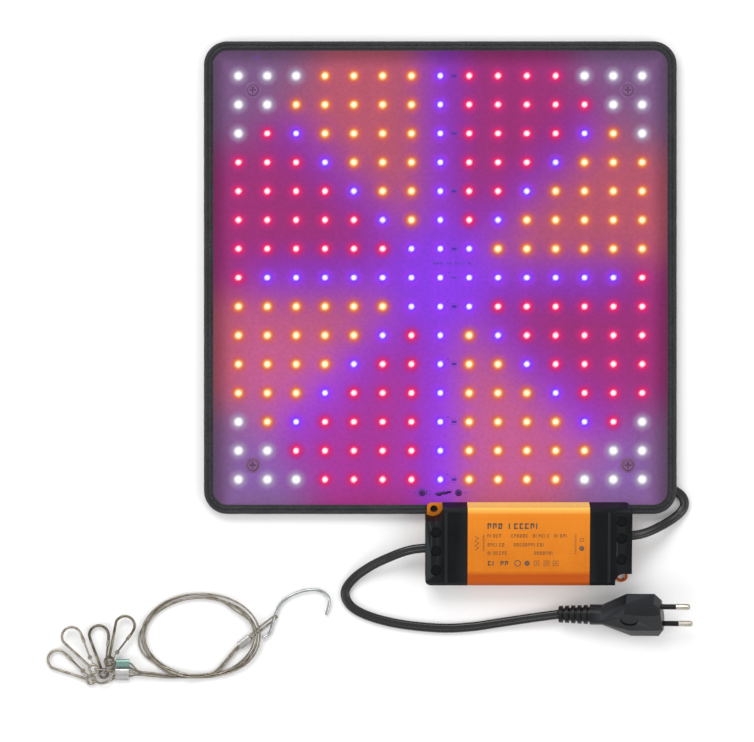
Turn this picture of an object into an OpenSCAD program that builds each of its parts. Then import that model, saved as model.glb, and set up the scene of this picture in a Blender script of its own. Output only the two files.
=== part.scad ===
// LED grow panel with its external driver, leads and wire hanging kit, laid out flat.
// Millimetres. The origin is the middle of the panel, on the floor; +Z points up, away from the floor.

/* [Panel] */
// Outside width and height of the square panel
panel_size = 310; // [300:1:320]
// Corner radius of the edge trim
panel_corner_r = 15.5; // [12:0.5:20]
// Width of the edge trim seen from the front
trim_w = 6.2; // [6:0.1:9]
// Distance between neighbouring diodes
led_pitch = 18.9; // [18.5:0.1:19]
// Height of the panel's back above the floor
back_z = 5.2; // [5:0.1:6]
// Thickness of the aluminium base plate
plate_t = 1.5; // [1:0.1:2]
// Thickness of the circuit layer
board_t = 0.8; // [0.6:0.1:1]

/* [Driver] */
// Length of the driver
driver_l = 134.8; // [130:0.1:140]
// Width of the driver
driver_w = 52; // [48:0.5:54]
// Height of the driver
driver_h = 21; // [20:0.5:24]
// Length of each end cap
cap_l = 27.5; // [24:0.5:30]

/* [Leads] */
// Width of the flat two-core leads
lead_w = 6; // [5:0.1:7]
// Thickness of the flat two-core leads
lead_t = 3.8; // [3.4:0.1:4]

/* [Hanging kit] */
// Diameter of the wire rope
rope_d = 1.2; // [1:0.1:1.5]
// Wire diameter of the snap hooks
hook_wire_d = 1.8; // [1.6:0.1:2]

/* [Hidden] */
$fn = 48;

// ---- panel heights
plate_top = back_z + plate_t;
board_top = plate_top + board_t;
lip_t = 0.8;
rim_top = board_top + lip_t;
led_count = 15;
led_mid = 7;
screw_xy = 6.5 * led_pitch;
screw_r = 2;

// ---- driver placing: it leans on the trim's top outer edge, low edge on the floor
lean_gap = 0.1;
driver_x = -10;
driver_foot_y = -197.7;
lean_dy = -panel_size / 2 - driver_foot_y;
lean_dz = rim_top;
lean_deg = atan2(lean_dz, lean_dy) + asin(lean_gap / norm([lean_dy, lean_dz]));
wall = 2;
bevel = 2.5;

module place_driver() {
  translate([driver_x, driver_foot_y, 0]) rotate([lean_deg, 0, 0]) children();
}

// ---- smooth curves and swept tubes
function catmull(p0, p1, p2, p3, t) =
  0.5 * (2 * p1 + (p2 - p0) * t + (2 * p0 - 5 * p1 + 4 * p2 - p3) * t * t
         + (3 * p1 - p0 - 3 * p2 + p3) * t * t * t);
function smooth(pts, n) = let (m = len(pts)) [
  for (i = [0:m - 2], k = [0:n - 1])
    catmull(pts[max(i - 1, 0)], pts[i], pts[i + 1], pts[min(i + 2, m - 1)], k / n),
  pts[m - 1]
];
function unit(v) = v / norm(v);
function tangent(p, i) = unit(p[min(i + 1, len(p) - 1)] - p[max(i - 1, 0)]);
function side_of(t) = unit(cross([0, 0, 1], t));

// A tube along p, width w across and thickness t up, closed by flat ends.
module tube(p, w, t, sides = 10) {
  n = len(p);
  rings = [
    for (i = [0:n - 1])
      let (d = tangent(p, i), s = side_of(d), u = cross(d, s))
        for (k = [0:sides - 1])
          let (a = 360 * (k + 0.5) / sides)
            p[i] + s * (w / 2 * cos(a)) + u * (t / 2 * sin(a))
  ];
  walls = [
    for (i = [0:n - 2], k = [0:sides - 1])
      let (a = i * sides + k, b = i * sides + (k + 1) % sides)
        each [[a, a + sides, b], [b, a + sides, b + sides]]
  ];
  ends = [
    [for (k = [0:sides - 1]) k],
    [for (k = [sides - 1:-1:0]) (n - 1) * sides + k]
  ];
  polyhedron(points = rings, faces = concat(walls, ends), convexity = 8);
}

// A rounded-corner plate, standing on z = 0, centred in X and Y.
module rounded_plate(w, h, r, t) {
  linear_extrude(t) union() {
    square([w - 2 * r, h], center = true);
    square([w, h - 2 * r], center = true);
    for (x = [-1, 1], y = [-1, 1])
      translate([x * (w / 2 - r), y * (h / 2 - r)]) circle(r);
  }
}

// A round bar from a to b.
module bar(a, b, d) {
  v = b - a;
  length = norm(v);
  translate(a)
    rotate([0, acos(v.z / length), atan2(v.y, v.x)])
      cylinder(d = d, h = length);
}

// ---- panel
inner_size = panel_size - 2 * trim_w;
inner_corner_r = panel_corner_r - trim_w;
board_size = panel_size - 4;
board_corner_r = panel_corner_r - 2;
hole_d = 4.3;

module screw_places() {
  for (x = [-1, 1], y = [-1, 1]) translate([x * screw_xy, y * screw_xy, 0]) children();
}

module edge_trim() {
  color([0.14, 0.15, 0.15]) translate([0, 0, back_z - lip_t]) difference() {
    rounded_plate(panel_size, panel_size, panel_corner_r, rim_top - back_z + lip_t);
    translate([0, 0, lip_t])
      rounded_plate(board_size, board_size, board_corner_r, plate_t + board_t);
    translate([0, 0, -1])
      rounded_plate(inner_size, inner_size, inner_corner_r, rim_top);
  }
}

// The two wires pass up through the board at the input pads.
wire_x = [-12, 12];
wire_y = -141;
wire_d = 1.6;

module board_holes(h) {
  screw_places() translate([0, 0, -1]) cylinder(d = hole_d, h = h + 2);
  for (x = wire_x) translate([x, wire_y, -1]) cylinder(d = wire_d + 0.6, h = h + 2);
}

module base_plate() {
  color([0.75, 0.76, 0.78]) translate([0, 0, back_z]) difference() {
    rounded_plate(board_size, board_size, board_corner_r, plate_t);
    board_holes(plate_t);
  }
}

module led_board() {
  color([0.62, 0.3, 0.75]) translate([0, 0, plate_top]) difference() {
    rounded_plate(board_size, board_size, board_corner_r, board_t);
    board_holes(board_t);
  }
}

// Colour of the diode c columns right of and r rows above the middle one.
function led_colour(c, r) =
  abs(c) + abs(r) >= 12 ? "white"
  : c == 0 || abs(c) == abs(r) || (r == 0 && abs(c) < led_mid) ? "blue"
  : r == 0 ? "red"
  : (c * r < 0) == (abs(r) > abs(c)) ? "orange"
  : "red";
led_w = 3.5;
led_body_t = 0.7;
led_lens_r = 1.5;

module leds(name, tint) {
  color(tint)
    for (c = [-led_mid:led_mid], r = [-led_mid:led_mid])
      if (led_colour(c, r) == name)
        translate([c * led_pitch, r * led_pitch, board_top]) union() {
          translate([-led_w / 2, -led_w / 2, 0]) cube([led_w, led_w, led_body_t]);
          cylinder(r = led_lens_r, h = led_body_t + 0.6);
        }
}

module series_resistors() {
  color([0.15, 0.12, 0.2])
    for (r = [-led_mid:2:led_mid])
      translate([9, r * led_pitch, board_top + 0.3]) cube([3.2, 1.6, 0.6], center = true);
}

module input_pads() {
  color([0.8, 0.78, 0.7])
    for (x = wire_x)
      translate([x, wire_y, board_top]) difference() {
        cylinder(r1 = 2.4, r2 = 1.4, h = 0.9);
        translate([0, 0, -1]) cylinder(d = wire_d, h = 3);
      }
}

module board_wires() {
  color([0.6, 0.1, 0.1])
    for (x = wire_x)
      translate([x, wire_y, back_z - 1]) cylinder(d = wire_d, h = board_top + 1.2 - back_z + 1);
}

module corner_screws() {
  color([0.75, 0.7, 0.78]) screw_places() difference() {
    union() {
      cylinder(r = screw_r, h = board_top + 0.8);
      translate([0, 0, board_top + 0.8]) cylinder(r1 = 4, r2 = 3, h = 2);
    }
    for (a = [0, 90])
      rotate(a) translate([-2, -0.4, board_top + 1.8]) cube([4, 0.8, 2]);
  }
}

module corner_washers() {
  color([0.78, 0.76, 0.8]) screw_places()
    translate([0, 0, board_top]) difference() {
      cylinder(d = 10.6, h = 0.8);
      translate([0, 0, -1]) cylinder(d = hole_d, h = 3);
    }
}

// ---- hanging rings folded flat under the corners; their straps are clamped by the nuts
strap_t = 0.7;
ring_wire_d = 2;
ring_r = 6.5;
ring_axis_z = back_z - ring_wire_d / 2 - strap_t;
ring_offset = 9;

module corner_nuts() {
  color([0.8, 0.8, 0.82]) screw_places()
    translate([0, 0, back_z - strap_t - 3.2]) difference() {
      cylinder(d = 8.1, h = 3.2, $fn = 6);
      translate([0, 0, -1]) cylinder(r = screw_r + 0.05, h = 6);
    }
}

// A strap lies under the screw and curls round the ring's straight bar, towards the middle of the panel.
module ring_strap() {
  difference() {
    union() {
      translate([0, -5, back_z - strap_t]) cube([ring_offset, 10, strap_t]);
      translate([0, 0, back_z - strap_t]) cylinder(r = 5, h = strap_t);
      translate([ring_offset, 5, ring_axis_z]) rotate([90, 0, 0])
        cylinder(d = ring_wire_d + 2 * strap_t, h = 10);
    }
    translate([ring_offset, 6, ring_axis_z]) rotate([90, 0, 0])
      cylinder(d = ring_wire_d + 0.1, h = 12);
    translate([0, 0, back_z - 3]) cylinder(d = hole_d, h = 5);
  }
}

function corner_sign(i) = [[-1, 1], [1, 1], [-1, -1], [1, -1]][i];
module at_corner(i) {
  s = corner_sign(i);
  translate([s.x * screw_xy, s.y * screw_xy, 0]) mirror([s.x > 0 ? 1 : 0, 0, 0]) children();
}

module ring_straps() {
  color([0.8, 0.8, 0.82]) for (i = [0:3]) at_corner(i) ring_strap();
}

module hanging_ring(i) {
  color([0.8, 0.8, 0.82]) at_corner(i) translate([ring_offset, 0, ring_axis_z]) union() {
    bar([0, -ring_r, 0], [0, ring_r, 0], ring_wire_d);
    for (y = [-1, 1]) translate([0, y * ring_r, 0]) sphere(d = ring_wire_d);
    for (y = [-1, 1]) bar([0, y * ring_r, 0], [4, y * ring_r, 0], ring_wire_d);
    translate([4, 0, 0]) rotate([0, 0, -90]) rotate_extrude(angle = 180)
      translate([ring_r, 0]) circle(d = ring_wire_d, $fn = 24);
  }
}

// ---- cable entry box under the panel's lower edge
entry_h = 4.6;
module cable_entry_box() {
  color([0.12, 0.12, 0.13]) translate([0, wire_y, back_z - entry_h]) difference() {
    translate([-17, -6, 0]) cube([34, 12, entry_h]);
    translate([-15.5, -4.5, 1]) cube([31, 9, entry_h]);
    translate([10, -lead_w / 2 - 0.1, 0.3]) cube([10, lead_w + 0.2, lead_t + 0.1]);
  }
}

// ---- driver, in its own frame: X along it, Y from the foot edge to the leaning edge, Z up
shell_inset = 1.3;
ear_hole_d = 5;
ear_left = [5.8, driver_w - 4.6];
ear_right = [driver_l - 5.9, 2.4];
ear_r = 4.1;
ear_low = 0.45;
mid_l = driver_l - 2 * cap_l;
mains_y = 23;
panel_y = 31.5;
lead_z = 10;

// The driver's outline across its length, with bevelled top edges.
module section(inset, low) {
  w = driver_w - inset;
  h = driver_h - inset;
  polygon([
    [inset, low], [w, low], [w, h - bevel], [w - bevel, h], [inset + bevel, h], [inset, h - bevel]
  ]);
}

module along_x(x, length) {
  translate([x, 0, 0]) rotate([90, 0, 90]) linear_extrude(length) children();
}

module notch(x, y, r) {
  translate([x, y, -1]) cylinder(r = r, h = driver_h + 2);
}

notch_r = 6.8;
right_notch_r = 5.6;
module ear_notches(grow) {
  notch(ear_left.x - 1, ear_left.y + 2.2, notch_r + grow);
  hull() for (x = [0.7, 9], y = [0.2, -9])
    notch(ear_right.x + x, ear_right.y + y, right_notch_r + grow);
}

module ear_holes() {
  for (p = [ear_left, ear_right]) translate([p.x, p.y, -1]) cylinder(d = ear_hole_d, h = 5);
}

boss_x = [cap_l + 6, driver_l - cap_l - 6];
base_w = driver_w - 0.6;
module base_tray() {
  difference() {
    union() {
      translate([shell_inset + 3, 0, 0]) cube([driver_l - 2 * shell_inset - 6, base_w, wall]);
      translate([shell_inset, 3, 0]) cube([driver_l - 2 * shell_inset, base_w - 6, wall]);
      for (x = [shell_inset + 3, driver_l - shell_inset - 3], y = [3, base_w - 3])
        translate([x, y, 0]) cylinder(r = 3, h = wall);
    }
    hull() for (p = [[1, -1], [9, 0.2], [1, -9]])
      translate([ear_right.x + p.x, ear_right.y + p.y, -1]) cylinder(r = 4.9, h = wall + 2);
  }
}

// The right ear is a loop that stands out past the foot edge, just above the floor.
module driver_base() {
  color([0.85, 0.45, 0.12]) place_driver() difference() {
    union() {
      base_tray();
      translate([ear_right.x, ear_right.y, ear_low]) cylinder(r = ear_r, h = wall - ear_low);
      for (x = boss_x) translate([x, driver_w / 2, 0]) cylinder(d = 6, h = 5);
    }
    ear_holes();
    for (x = boss_x) translate([x, driver_w / 2, wall]) cylinder(d = 2.4, h = 5);
  }
}

module driver_cover() {
  color([0.9, 0.52, 0.16]) place_driver() difference() {
    along_x(cap_l, mid_l) section(0, wall);
    along_x(cap_l - 1, mid_l + 2) section(wall, wall - 1);
  }
}

// Recesses over the terminals and a raised rib across each end cap.
left_recess_y = [10.6, 23.6, 36];
right_recess_y = [18, 32, 43.5];
recess_d = 7;
recess_deep = 1.3;
cap_corner_r = 4;

// Takes the square corner at the origin down to a round one.
module corner_cut(r) {
  difference() {
    translate([-1, -1, -1]) cube([r + 1, r + 1, driver_h + 3]);
    translate([r, r, -2]) cylinder(r = r, h = driver_h + 5);
  }
}
module end_cap(right) {
  x0 = right ? driver_l - cap_l : 0;
  end_x = right ? driver_l - wall : 0;
  out_x = right ? driver_l - 6.9 : 6.9;
  rib_x = right ? driver_l - 16 : 12.5;
  recess_y = right ? right_recess_y : left_recess_y;
  lead_y = right ? panel_y : mains_y;
  difference() {
    union() {
      difference() {
        along_x(x0, cap_l) section(0, wall);
        difference() {
          along_x(right ? x0 - 1 : wall, cap_l - wall + 1) section(wall, wall - 1);
          ear_notches(wall);
        }
      }
      translate([rib_x, bevel, driver_h]) cube([2, driver_w - 2 * bevel, 0.5]);
    }
    ear_notches(0);
    if (right) translate([driver_l, driver_w, 0]) rotate(180) corner_cut(cap_corner_r);
    else corner_cut(cap_corner_r);
    for (y = recess_y) translate([out_x, y, driver_h - recess_deep]) cylinder(d = recess_d, h = 3);
    translate([end_x - 1, lead_y - lead_w / 2 - 0.1, lead_z - lead_t / 2 - 0.1])
      cube([wall + 2, lead_w + 0.2, lead_t + 0.2]);
  }
}

module end_cap_left() {
  color([0.1, 0.1, 0.11]) place_driver() end_cap(false);
}

module end_cap_right() {
  color([0.1, 0.1, 0.11]) place_driver() end_cap(true);
}

module board_screws() {
  color([0.6, 0.6, 0.62]) place_driver()
    for (x = boss_x) translate([x, driver_w / 2, 6.6]) union() {
      cylinder(d = 5, h = 1.6);
      translate([0, 0, -3.6]) cylinder(d = 2.2, h = 4);
    }
}

board_z = 5;
module driver_board() {
  color([0.2, 0.45, 0.2]) place_driver() difference() {
    translate([cap_l - 9, 6, board_z]) cube([mid_l + 18, driver_w - 12, 1.6]);
    for (x = boss_x) translate([x, driver_w / 2, 0]) cylinder(d = 2.8, h = 20);
  }
}

part_z = board_z + 1.6;
module transformer_core() {
  color([0.2, 0.2, 0.2]) place_driver() translate([66, 15, part_z]) difference() {
    cube([20, 22, 11]);
    translate([4, -1, 2]) cube([12, 24, 7]);
  }
}

module transformer_winding() {
  color([0.85, 0.7, 0.2]) place_driver() translate([70.2, 13, part_z + 2.1]) cube([11.6, 26, 6.8]);
}

module mains_capacitor() {
  color([0.15, 0.2, 0.45]) place_driver() translate([45, 34, part_z + 5.2])
    rotate([0, 90, 0]) cylinder(d = 10.2, h = 18);
}

module output_capacitors() {
  color([0.1, 0.1, 0.15]) place_driver()
    for (y = [17, 26, 35]) translate([94.5, y, part_z]) cylinder(d = 8, h = 11);
}

module filter_choke() {
  color([0.75, 0.4, 0.2]) place_driver() translate([50, 17, part_z]) difference() {
    cylinder(d = 14, h = 7);
    translate([0, 0, -1]) cylinder(d = 6, h = 9);
  }
}

module bridge_rectifier() {
  color([0.12, 0.12, 0.12]) place_driver() translate([36, 10, part_z]) cube([5, 10, 7]);
}

module heat_sink() {
  color([0.7, 0.7, 0.72]) place_driver() translate([70, 8.4, part_z]) union() {
    cube([26, 2, 11]);
    translate([4, -1.6, 0]) cube([10, 1.6, 9]);
  }
}

module terminal_blocks() {
  color([0.15, 0.5, 0.3]) place_driver() {
    translate([19, mains_y - 5, part_z]) cube([7, 10, 7]);
    translate([driver_l - 26, panel_y - 5, part_z]) cube([7, 10, 7]);
  }
}

// Each clamp is a pair of ribs that grip the lead behind the cap's end wall.
module cord_clamp(x, y) {
  translate([x, y - 6, wall]) difference() {
    cube([5, 12, 14]);
    translate([-1, 5.9 - lead_w / 2, lead_z - wall - lead_t / 2 - 0.1])
      cube([7, lead_w + 0.2, lead_t + 0.2]);
  }
}

module cord_clamps() {
  color([0.2, 0.2, 0.2]) place_driver() {
    cord_clamp(wall + 5, mains_y);
    cord_clamp(driver_l - wall - 10, panel_y);
  }
}

module driver_label() {
  color([0.93, 0.62, 0.24]) place_driver()
    translate([cap_l + 3, 7, driver_h]) cube([mid_l - 6, driver_w - 14, 0.2]);
}

// ---- leads
function driver_point(p) = [
  driver_x + p.x,
  driver_foot_y + p.y * cos(lean_deg) - p.z * sin(lean_deg),
  p.y * sin(lean_deg) + p.z * cos(lean_deg)
];
floor_z = lead_t / 2;
plug_base = [78, -220.6, 7.3];
plug_pitch = 10.5;
plug_roll = 50;

mains_route = [
  driver_point([12, mains_y, lead_z]), driver_point([0, mains_y, lead_z]),
  [-21, -178.6, 13.6], [-33, -183, 11], [-46, -189.4, 7], [-57, -197.6, 3.4], [-62.5, -206.5, floor_z],
  [-58.5, -215.6, floor_z], [-46, -222.4, floor_z], [-26, -227.4, floor_z], [0, -230, floor_z],
  [20, -229.2, floor_z], [38, -226.6, 2.6], [57, -223.6, 4.8], plug_base
];
panel_route = [
  driver_point([driver_l - 12, panel_y, lead_z]), driver_point([driver_l, panel_y, lead_z]),
  [133, -167.4, 14.3], [141, -164.4, 11], [150, -159.8, 5.6], [157.4, -154.3, 2.6], [160.4, -148.8, floor_z],
  [158.6, -143.2, floor_z], [152, -139, floor_z], [140, -137.8, floor_z], [110, -138.4, floor_z],
  [80, -139.6, floor_z], [50, -141, floor_z], [30, -141, 2.4], [14.5, -141, 2.9]
];

module mains_cord() {
  color([0.1, 0.1, 0.11]) tube(smooth(mains_route, 3), lead_w, lead_t);
}

module panel_cord() {
  color([0.1, 0.1, 0.11]) tube(smooth(panel_route, 3), lead_w, lead_t);
}

// ---- two-pin plug, along +X from the lead's end
relief_l = 20.5;
collar_l = 9;
collar_d = 13.4;
body_x = relief_l + collar_l;
body_end = 68;
plug_t = 13.7;
plug_half_w = 17.2;
plug_side_t = 4.2;
plug_wide_x = 46;
pin_gap = 18;
pin_l = 19;
sleeve_l = 10;
sleeve_r = 1.75;
core_r = 1.3;
pin_root = 8;

module place_plug() {
  translate(plug_base) rotate([0, -plug_pitch, 0]) rotate([plug_roll, 0, 0]) children();
}

module round_x(x, r1, r2, length) {
  translate([x, 0, 0]) rotate([0, 90, 0]) cylinder(r1 = r1, r2 = r2, h = length);
}

rib_count = 5;
module plug_strain_relief() {
  pitch = relief_l / rib_count;
  color([0.12, 0.12, 0.14]) place_plug() union() {
    round_x(0.5, 3.9, 5, relief_l - 0.5);
    for (i = [0:rib_count - 1])
      round_x(i * pitch, 5.5 + i * 0.18, 5.6 + i * 0.18, pitch * 0.55);
  }
}

// A thin slice of the plug's body: eight-sided, w to each side and t up and down, with side faces of 2 * s.
module plug_slice(x, w, t, s) {
  translate([x, 0, 0]) rotate([90, 0, 90]) linear_extrude(0.2) polygon([
    [-w, -s], [-8, -t], [8, -t], [w, -s], [w, s], [8, t], [-8, t], [-w, s]
  ]);
}

module plug_body() {
  color([0.12, 0.12, 0.14]) place_plug() difference() {
    union() {
      round_x(relief_l, collar_d / 2, collar_d / 2, collar_l);
      hull() {
        round_x(body_x - 1, collar_d / 2, collar_d / 2, 1);
        plug_slice(plug_wide_x, plug_half_w, plug_t / 2, plug_side_t);
        plug_slice(64, plug_half_w, plug_t / 2, plug_side_t);
        plug_slice(body_end - 0.2, 11.5, plug_t / 2 - 0.8, plug_side_t - 1);
      }
    }
    for (side = [-1, 1])
      translate([47, side * 3, side * (plug_t / 2 + 0.2)]) cylinder(d = 12, h = 2, center = true);
    for (y = [-1, 1]) translate([body_end - pin_root, y * pin_gap / 2, 0]) rotate([0, 90, 0])
      cylinder(r = core_r, h = pin_root + 1);
  }
}

module plug_pins() {
  color([0.8, 0.78, 0.72]) place_plug()
    for (y = [-1, 1]) translate([0, y * pin_gap / 2, 0]) union() {
      round_x(body_end - pin_root, core_r, core_r, pin_root + sleeve_l + 0.5);
      round_x(body_end + sleeve_l, 2, 2, pin_l - sleeve_l - 1);
      round_x(body_end + pin_l - 1, 2, 1.2, 1);
    }
}

module pin_sleeves() {
  color([0.1, 0.1, 0.1]) place_plug()
    for (y = [-1, 1]) translate([0, y * pin_gap / 2, 0]) difference() {
      round_x(body_end, sleeve_r, sleeve_r, sleeve_l);
      round_x(body_end - 1, core_r, core_r, sleeve_l + 2);
    }
}

// ---- hanging kit: a tube whose section doesn't twist, for wire and rope in any direction
module wire(p, d, first_side, sides = 8) {
  n = len(p);
  frames = [
    for (i = 0, s = unit(first_side); i < n;
         i = i + 1,
         s = i < n ? unit(s - tangent(p, i) * (s * tangent(p, i))) : s)
      unit(s - tangent(p, i) * (s * tangent(p, i)))
  ];
  rings = [
    for (i = [0:n - 1])
      let (u = cross(tangent(p, i), frames[i]))
        for (k = [0:sides - 1])
          let (a = 360 * k / sides)
            p[i] + (frames[i] * cos(a) + u * sin(a)) * (d / 2)
  ];
  walls = [
    for (i = [0:n - 2], k = [0:sides - 1])
      let (a = i * sides + k, b = i * sides + (k + 1) % sides)
        each [[a, a + sides, b], [b, a + sides, b + sides]]
  ];
  ends = [
    [for (k = [0:sides - 1]) k],
    [for (k = [sides - 1:-1:0]) (n - 1) * sides + k]
  ];
  polyhedron(points = rings, faces = concat(walls, ends), convexity = 8);
}

// The ropes lie together in an oval ring, lifted on its right where their top end passes under it.
coil_mid = [-157.2, -235.3];
coil_a = 37;
coil_b = 26.5;
coil_d = 3.4;
coil_low = 1.75;
coil_lift = 2.7;
function coil_z(a) = coil_low + coil_lift * pow((1 + cos(a)) / 2, 6);
function coil_point(a) = [coil_mid.x + coil_a * cos(a), coil_mid.y + coil_b * sin(a), coil_z(a)];

module rope_coil() {
  steps = 48;
  sides = 8;
  rings = [
    for (i = [0:steps - 1])
      let (a = 360 * i / steps, out = unit([coil_b * cos(a), coil_a * sin(a), 0]))
        for (k = [0:sides - 1])
          let (b = 360 * k / sides)
            coil_point(a) + (out * cos(b) + [0, 0, sin(b)]) * (coil_d / 2)
  ];
  walls = [
    for (i = [0:steps - 1], k = [0:sides - 1])
      let (j = (i + 1) % steps, m = (k + 1) % sides,
           a = i * sides + k, b = i * sides + m, c = j * sides + k, d = j * sides + m)
        each [[a, b, c], [b, d, c]]
  ];
  color([0.6, 0.58, 0.55]) polyhedron(points = rings, faces = walls, convexity = 8);
}

// Snap hooks: eye centres, headings and heights. Hooks 2 and 4 lie over hooks 1 and 3.
hook_eye = [[-229.4, -263.9, 2.2], [-227.6, -256.6, 5.5], [-221, -259.9, 2.2], [-217.2, -251.6, 4.65]];
hook_heading = [149, 124, 97, 66];
eye_r = 2.7;
hook_l = 25.5;
nose_r = 6.3;
gate_hinge = [7.5, -2.4];
gate_len = 14.4;
gate_deg = -13.6;
gate_pin_d = 1;

hook_tip = gate_hinge + (gate_len + 0.5) * [cos(gate_deg), sin(gate_deg)];
function hook_route() = [
  [hook_tip.x, hook_tip.y, 0],
  for (a = [-90:20:90]) [hook_l + nose_r * cos(a), nose_r * sin(a), 0],
  [18, 4.6, 0], [11, 2.9, 0], [6, 1.8, 0], [2.4, 1, 0]
];

module place_hook(i) {
  translate(hook_eye[i]) rotate(hook_heading[i]) children();
}

module hook_body(i) {
  color([0.66, 0.64, 0.6]) place_hook(i) difference() {
    union() {
      rotate_extrude() translate([eye_r, 0]) circle(d = hook_wire_d, $fn = 24);
      wire(hook_route(), hook_wire_d, [0, 0, 1]);
      translate([eye_r - 0.4, -2.6, -0.9]) cube([5, 1.1, 0.55]);
      translate([gate_hinge.x, gate_hinge.y, -0.9]) cylinder(d = 3, h = 0.55);
    }
    translate([gate_hinge.x, gate_hinge.y, -2]) cylinder(d = gate_pin_d, h = 4);
  }
}

module hook_gate(i) {
  color([0.45, 0.43, 0.4]) place_hook(i)
    translate([gate_hinge.x, gate_hinge.y, 0]) rotate(gate_deg) difference() {
      union() {
        translate([0, 0, -0.3]) cylinder(d = 3, h = 1.2);
        translate([0, -0.6, -0.3]) cube([gate_len - 1, 1.2, 1.2]);
        translate([gate_len - 4, 0, 0.3]) rotate([0, 90, 0]) cylinder(d = 2.2, h = 4);
      }
      translate([0, 0, -1]) cylinder(d = gate_pin_d + 0.1, h = 3);
    }
}

module gate_pin(i) {
  color([0.5, 0.48, 0.45])
    place_hook(i) translate([gate_hinge.x, gate_hinge.y, -0.9]) union() {
      cylinder(d = gate_pin_d, h = 1.9);
      translate([0, 0, 1.85]) cylinder(d = 2, h = 0.35);
    }
}

// Ferrules that close each rope's end loop, and the one at the top of the kit.
ferrule_l = 8.8;
ferrule_w = 5.4;
ferrule_t = 3.2;
ferrule_at = [[-208.9, -261.7, 1.9], [-208.7, -258.7, 5.3], [-208.9, -255.9, 1.9], [-208.2, -252.9, 5.3]];
top_ferrule_at = [-128.4, -239, 1.9];
top_ferrule_deg = 38;

module ferrule(w, t) {
  rotate([90, 0, 90]) translate([0, 0, -ferrule_l / 2]) linear_extrude(ferrule_l) union() {
    square([w - t, t], center = true);
    for (x = [-1, 1]) translate([x * (w - t) / 2, 0]) circle(d = t);
  }
}

module hook_ferrules() {
  color([0.72, 0.72, 0.72]) for (p = ferrule_at) translate(p) ferrule(ferrule_w, ferrule_t);
}

module top_ferrule() {
  color([0.72, 0.72, 0.72]) translate(top_ferrule_at) rotate(top_ferrule_deg) ferrule(ferrule_w, 3.6);
}

// A rope's end loop: out of its ferrule, under the hook's eye, round its wire and back over the top.
strand_gap = 1.1;
pass_z = 1.6;
function end_loop(f, e, side_points) =
  let (last = len(side_points) > 0 ? side_points[len(side_points) - 1] : [f.x, f.y],
       run = [e.x - last.x, e.y - last.y, 0],
       a = unit(run),
       lead = min(4.8, 0.8 * norm(run)),
       low = max(e.z - pass_z, rope_d / 2),
       high = e.z + pass_z)
  concat(
    [[f.x, f.y - strand_gap, f.z]],
    [for (p = side_points) [p.x, p.y, low]],
    [[e.x, e.y, low] - a * lead],
    [for (t = [-90:30:90]) e + a * (pass_z * cos(t) - eye_r) + [0, 0, pass_z * sin(t)]],
    [[e.x, e.y, high] - a * lead],
    [for (i = [len(side_points) - 1:-1:0]) [side_points[i].x, side_points[i].y, high]],
    [[f.x, f.y + strand_gap, f.z]]
  );
loop_sides = [[[-217.5, -265], [-223, -266.3]], [[-219, -257.3]], [], []];
bundle_route = [
  [-204, -258.3, 3], [-198, -259.4, 2.2], [-190, -260.4, 1.7], [-178, -261.7, 1.7], [-164, -261.6, 1.75]
];
bundle_d = 3;
rise_route = [
  [-156, -261.7, 1.75], [-149, -259.6, 1.8], [-141.5, -252.6, 1.9], [-136, -246, 1.9], [-131.7, -241.6, 1.9]
];
top_loop_route = [
  [-125.2, -237.3, 1.3], [-119.4, -233, 0.65], [-113, -227.6, 0.6], [-109, -224.6, 0.6],
  [-107, -222.6, 2.2], [-108.6, -221.9, 3.95], [-112.4, -224.4, 3.4], [-119.8, -230.2, 1.95],
  [-125.6, -235, 2.3]
];

module rope_ends() {
  color([0.6, 0.58, 0.55]) {
    for (i = [0:3])
      wire(smooth(end_loop(ferrule_at[i] - [ferrule_l / 2, 0, 0], hook_eye[i], loop_sides[i]), 2),
           rope_d, [0, 1, 0], 6);
    wire(smooth(bundle_route, 2), bundle_d, [0, 0, 1]);
    wire(smooth(rise_route, 2), bundle_d, [0, 0, 1]);
    wire(smooth(top_loop_route, 3), rope_d, [0, 0, 1], 6);
  }
}

s_hook_z = 2.3;
s_hook_wire_d = 2;
s_hook_points = [
  [-116, -236], [-113.2, -234.6], [-111.3, -231.5], [-110.2, -227.5], [-109.2, -223.5], [-107.4, -218.6],
  [-104.8, -213.9], [-99.5, -209.4], [-92.3, -206.3], [-86.5, -205], [-81, -204.9], [-75.8, -206.9],
  [-72.9, -210.9], [-73.3, -215.6], [-74.7, -220.8]
];

module s_hook() {
  color([0.75, 0.75, 0.75])
    wire(smooth([for (p = s_hook_points) [p.x, p.y, s_hook_z]], 3), s_hook_wire_d, [0, 0, 1], 10);
}

edge_trim();
base_plate();
led_board();
leds("white", [0.95, 0.95, 0.9]);  // leds_white
leds("orange", [1, 0.55, 0.1]);  // leds_orange
leds("red", [1, 0.1, 0.3]);  // leds_red
leds("blue", [0.45, 0.25, 1]);  // leds_blue
series_resistors();
input_pads();
board_wires();
corner_screws();
corner_washers();
corner_nuts();
ring_straps();
hanging_ring(0);  // hanging_ring_1
hanging_ring(1);  // hanging_ring_2
hanging_ring(2);  // hanging_ring_3
hanging_ring(3);  // hanging_ring_4
cable_entry_box();
driver_base();
driver_cover();
end_cap_left();
end_cap_right();
board_screws();
driver_board();
transformer_core();
transformer_winding();
mains_capacitor();
output_capacitors();
filter_choke();
bridge_rectifier();
heat_sink();
terminal_blocks();
cord_clamps();
driver_label();
mains_cord();
plug_body();
plug_strain_relief();
plug_pins();
pin_sleeves();
panel_cord();
rope_coil();
rope_ends();
hook_ferrules();
top_ferrule();
hook_body(0);  // hook_body_1
hook_body(1);  // hook_body_2
hook_body(2);  // hook_body_3
hook_body(3);  // hook_body_4
hook_gate(0);  // hook_gate_1
hook_gate(1);  // hook_gate_2
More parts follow.
